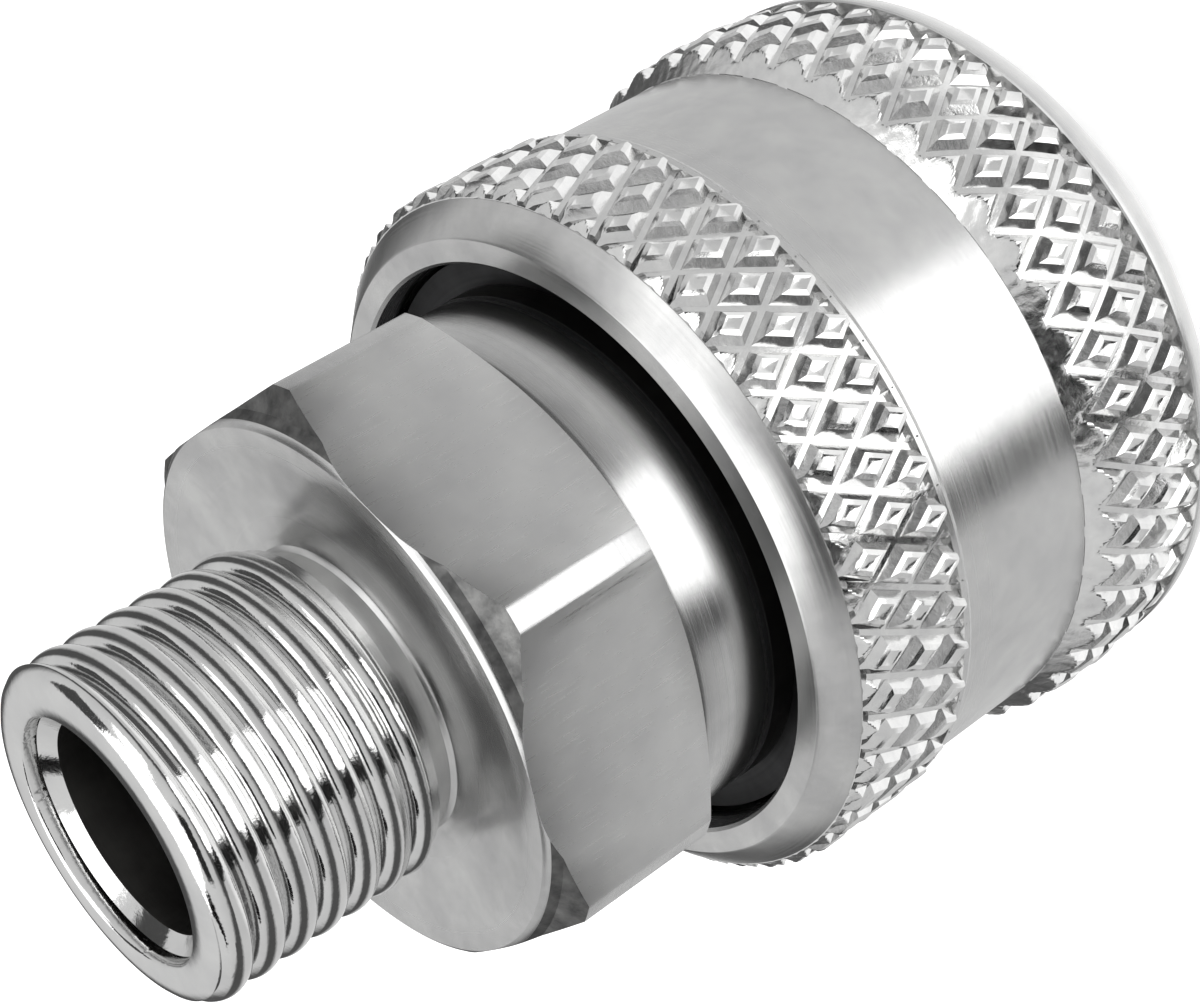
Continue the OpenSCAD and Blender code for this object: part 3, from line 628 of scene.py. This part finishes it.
def makeKnurl(name, low, high, rootAt, limitAt, fineFrom, fineTo):
    # one diamond, inset into a groove, flanks and a low dome, repeated and wrapped round the sleeve;
    # the root and the limit of the radius are functions of the height, in millimetres
    k = knurlSizes
    halfWide = math.pi * k["wrapR"] / k["count"]
    halfTall = k["tall"] / 2
    clearSelection()
    bpy.ops.mesh.primitive_circle_add(vertices=4, radius=mm, fill_type="NGON", location=(0, 0, 0))
    piece = bpy.context.active_object
    piece.name = name
    bpy.ops.object.mode_set(mode="EDIT")
    bpy.ops.mesh.select_all(action="SELECT")
    bpy.ops.transform.resize(value=(halfWide, halfTall, 1), center_override=(0, 0, 0))
    bpy.ops.mesh.inset(thickness=k["valley"] * mm, depth=0)
    bpy.ops.mesh.inset(thickness=k["flank"] * mm, depth=k["deep"] * 0.8 * mm)
    bpy.ops.mesh.inset(thickness=k["dome"] * mm, depth=k["deep"] * 0.2 * mm)
    bpy.ops.mesh.inset(thickness=k["topWide"] * mm, depth=-k["topDip"] * mm)
    bpy.ops.object.mode_set(mode="OBJECT")
    rows = int(math.ceil((high - low) / halfTall)) + 2
    applyModifier(piece, "ARRAY", count=rows, use_relative_offset=False, use_constant_offset=True,
                  constant_offset_displace=(halfWide * mm, halfTall * mm, 0))
    applyModifier(piece, "ARRAY", count=k["count"], use_relative_offset=False, use_constant_offset=True,
                  constant_offset_displace=(2 * halfWide * mm, 0, 0))
    pickOnly(piece)
    bpy.ops.object.mode_set(mode="EDIT")
    bpy.ops.mesh.select_all(action="SELECT")
    bpy.ops.transform.translate(value=(0, -halfTall * 0.6 * mm, 0))
    bpy.ops.mesh.remove_doubles(threshold=5e-6)
    bpy.ops.mesh.select_all(action="SELECT")
    bpy.ops.mesh.bisect(plane_co=(0, 0, 0), plane_no=(0, 1, 0), clear_inner=True)
    bpy.ops.mesh.select_all(action="SELECT")
    bpy.ops.mesh.bisect(plane_co=(0, (high - low) * mm, 0), plane_no=(0, 1, 0), clear_outer=True)
    bpy.ops.mesh.select_all(action="SELECT")
    bpy.ops.mesh.subdivide(number_cuts=1)
    bpy.ops.object.mode_set(mode="OBJECT")
    # finer still where a chamfer cuts across the diamonds
    selectFaces(piece, lambda face: fineFrom - low < face.center.y / mm < fineTo - low)
    bpy.ops.mesh.subdivide(number_cuts=2)
    bpy.ops.object.mode_set(mode="OBJECT")
    for v in piece.data.vertices:
        x, y, rise = v.co / mm
        z = low + y
        turn = x / (2 * halfWide) * 2 * math.pi / k["count"]
        spot = Vector((math.cos(turn) * k["wrapR"], math.sin(turn) * k["wrapR"], z))
        if rise > 0.02:  # the grooves stay even
            rise += k["uneven"] * (noise.noise(spot * 0.9) + 0.7 * noise.noise(spot * 2.3))
        r = min(rootAt(z) + rise, limitAt(z) + 0.012 * noise.noise(spot * 3.1))
        v.co = (r * math.cos(turn) * mm, r * math.sin(turn) * mm, z * mm)
    pickOnly(piece)
    bpy.ops.object.mode_set(mode="EDIT")
    bpy.ops.mesh.select_all(action="SELECT")
    bpy.ops.mesh.remove_doubles(threshold=4e-6)
    bpy.ops.mesh.select_all(action="SELECT")
    bpy.ops.mesh.normals_make_consistent(inside=False)
    # the two edges turn inward, under the turned shell
    bpy.ops.mesh.region_to_loop()
    bpy.ops.mesh.extrude_region_move(TRANSFORM_OT_translate={"value": (0, 0, 0)})
    bpy.ops.transform.resize(value=(0.93, 0.93, 1), center_override=(0, 0, 0))
    bpy.ops.object.mode_set(mode="OBJECT")
    return piece


def sleeveFinish(c, normal, r, z):
    # 0 satin, 1 faced ends, 2 bore in painted shade
    if r < sleeveSizes["openingR"] - 0.01 and z > sleeveSizes["lipLow"] + 0.08:
        return 2
    return 1 if z > sleeveSizes["top"] - 2.0 or abs(normal.z) > 0.98 else 0


def makeSleeve():
    s, k = sleeveSizes, knurlSizes
    rearRoot = s["rearCrest"] - k["deep"]
    frontRoot = s["frontCrest"] - k["deep"]
    frontMid = (s["frontLow"] + s["frontTop"]) / 2
    # a 45 degree cone runs up from the end face into the rounding beside the knurl
    roundMid = (s["noseR"] - s["noseRound"], s["frontLow"] - 0.2)
    nose = [(roundMid[0] + s["noseRound"] * math.sin(math.radians(a)),
             roundMid[1] - s["noseRound"] * math.cos(math.radians(a))) for a in range(45, 91, 9)]
    nose = [(nose[0][0] - (nose[0][1] - s["low"]), s["low"])] + nose
    # under the knurls the turned shell stays a little below the grooves
    rearCore = rearRoot - 0.12
    frontCore = frontRoot - s["crown"] - 0.12
    fillet = [(s["waistR"] + 0.2 * (1 - math.sin(math.radians(a))),
               s["rearLow"] - s["rimWide"] - 0.2 * math.cos(math.radians(a))) for a in (90, 60, 30, 0)]
    frontSeat = [
        (s["noseR"], s["frontLow"] - 0.06), (s["noseR"] - 0.06, s["frontLow"]), (frontCore, s["frontLow"]),
        (frontCore, s["frontTop"] - (frontCore - s["waistR"]) - 0.1),
        (s["waistR"] - 0.03, s["frontTop"] - 0.04), (s["waistR"], s["frontTop"])]
    rearSeat = [
        (s["rimR"] - 0.04, s["rearLow"] - s["rimWide"]), (s["rimR"], s["rearLow"] - s["rimWide"] + 0.04),
        (s["rimR"], s["rearLow"]), (rearCore, s["rearLow"]),
        (rearCore, s["top"] - (rearCore - s["rearFaceR"])), (s["rearFaceR"] + 0.04, s["top"] - 0.05),
        (s["rearFaceR"] - 0.06, s["top"])]
    inside = [
        (s["openingR"] + 0.12, s["top"]), (s["openingR"], s["top"] - 0.12), (s["openingR"], s["counterZ"]),
        (s["landR"], s["counterZ"]), (s["landR"], s["landLow"]), (s["releaseR"], s["rampLow"]),
        (s["releaseR"], s["releaseLow"]), (s["lipR"], s["lipTop"]), (s["lipR"], s["lipLow"]),
        (s["mouthR"], s["lipLow"])]
    outline = [(s["mouthR"], s["low"])] + nose + frontSeat + fillet + rearSeat + inside
    shell = turnRings("sleeveShell", outline, 256)
    smoothBy(shell, 22)
    giveFinish(shell, [satinNickel, turnedNickel, paintedShadeNickel], sleeveFinish)
    chamferStart = s["top"] - (s["rearCrest"] - s["rearFaceR"])
    rear = makeKnurl("rearKnurl", s["rearLow"] - 0.1, chamferStart + k["deep"] + 0.1, lambda z: rearRoot,
                     lambda z: s["rearCrest"] + 0.02 - max(0, z - chamferStart),
                     chamferStart - 0.1, chamferStart + 0.6)
    bevelStart = s["frontTop"] - (s["frontCrest"] - s["waistR"])

    def crowned(z):
        return frontRoot - s["crown"] * ((z - frontMid) / s["crownHalf"]) ** 2

    front = makeKnurl("frontKnurl", s["frontLow"] - 0.1, s["frontTop"] - 0.02, crowned,
                      lambda z: min(crowned(z) + k["deep"] + 0.02, s["waistR"] + s["frontTop"] - z),
                      bevelStart - 0.1, s["frontTop"])
    for piece in (rear, front):
        smoothBy(piece, 20)
        giveFinish(piece, [knurledNickel])
    whole = joinPieces(shell, [rear, front])
    whole.name = "releaseSleeveShell"
    return whole


sleeve = makeSleeve()
dressPiece(sleeve, "release_sleeve", "nickel_brass", "release_sleeve")
print("sleeve ready", len(sleeve.data.polygons))


# what keeps its solid shape gets its finish

plainFinishes = {
    "ball_": ballSteel, "sleeve_spring": springSteel, "valve_spring": springSteel,
    "snap_ring": paintedShadeGapSteel, "stop_ring": springSteel, "spring_washer": paintedShadeGapSteel,
    "valve_stem": turnedNickel, "valve_sleeve": turnedNickel, "stem_seal": sealRubber,
    "plug_seal": sealRubber, "joint_seal": sealRubber, "backup_ring": backupPtfe,
}
for nodeName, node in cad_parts.items():
    for start, material in plainFinishes.items():
        if nodeName.startswith(start):
            node.data.materials.clear()
            node.data.materials.append(material)

clearSelection()
